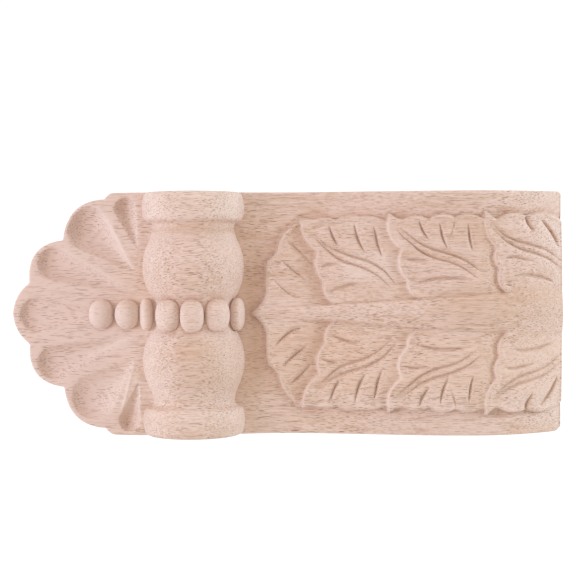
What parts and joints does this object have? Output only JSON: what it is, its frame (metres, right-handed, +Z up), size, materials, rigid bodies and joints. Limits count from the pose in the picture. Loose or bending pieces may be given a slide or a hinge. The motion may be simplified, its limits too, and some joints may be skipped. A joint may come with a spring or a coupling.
{
  "type": "wooden corbel",
  "caption": "Carved wooden corbel: an overlapping acanthus leaf above a turned roll with a string of beads and a scalloped shell pendant, flat at the back and top.",
  "frame": {"origin": "centre of the flat back face, where the corbel is fixed to a wall, post or cabinet", "axes": "+Z up to the square-cut bearing end, +Y into the wall out of the flat back, -Y out of the carved front, X across the width"},
  "size_m": [0.109, 0.0522, 0.25],
  "materials": {
    "wood": "bare, finely sanded pale hardwood with short pore lines"
  },
  "bodies": {
    "root": {"corbel": "wood"}
  },
  "joints": []
}
